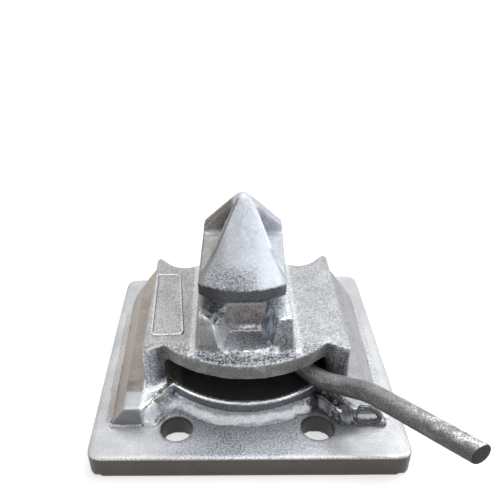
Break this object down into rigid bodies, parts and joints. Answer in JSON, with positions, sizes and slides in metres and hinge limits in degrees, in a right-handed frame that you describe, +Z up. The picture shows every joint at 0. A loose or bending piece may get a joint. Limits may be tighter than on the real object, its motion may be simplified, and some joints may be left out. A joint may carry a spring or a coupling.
{
  "type": "container twistlock",
  "caption": "Dovetail-base container twistlock on a bolted square plate, with a cone head turned by a bent round lever in a cast housing.",
  "frame": {"origin": "on the spindle's axis at the underside of the base plate", "axes": "+Z up along the spindle, +X to the right seen from the lever's side, +Y away from it"},
  "size_m": [0.2206, 0.2422, 0.1445],
  "materials": {
    "galvanised_plate": "hot-dip galvanised rolled plate",
    "galvanised_casting": "hot-dip galvanised sand casting",
    "galvanised_forging": "hot-dip galvanised forging",
    "lever_steel": "worn grey round bar",
    "weld_metal": "galvanised weld bead",
    "dark_steel": "plain dark steel"
  },
  "bodies": {
    "housing": {"base_plate": "galvanised_plate", "dovetail_body": "galvanised_casting", "upper_thrust_washer": "dark_steel", "detent_plate": "dark_steel", "detent_plate_screws": "dark_steel", "spring_seat_washer": "dark_steel", "disc_spring_upper": "dark_steel", "disc_spring_lower": "dark_steel", "weld_front": "weld_metal", "weld_notch_right": "weld_metal", "weld_end_right": "weld_metal", "weld_side_right": "weld_metal", "weld_back": "weld_metal", "weld_tail_right": "weld_metal", "weld_tail_left": "weld_metal", "weld_side_left": "weld_metal", "weld_end_left": "weld_metal", "weld_notch_left": "weld_metal"},
    "lock": {"lock_cone": "galvanised_forging", "lever_hub": "dark_steel", "lever_bar": "lever_steel", "lever_weld": "weld_metal", "hub_cross_pin": "dark_steel", "detent_spring": "dark_steel", "detent_plug": "dark_steel", "nut_washer": "dark_steel", "castle_nut": "dark_steel", "split_pin": "dark_steel"},
    "ball": {"detent_ball": "dark_steel"}
  },
  "joints": [
    {"name": "lock_turn", "type": "hinge", "parent": "housing", "child": "lock", "pos_m": [0, 0, 0.064], "axis": [0, 0, -1], "range_deg": [0, 80]},
    {"name": "detent_drop", "type": "slide", "parent": "lock", "child": "ball", "axis": [0, 0, -1], "range_m": [0, 0.0015], "deforming": ["detent_spring"]}
  ]
}
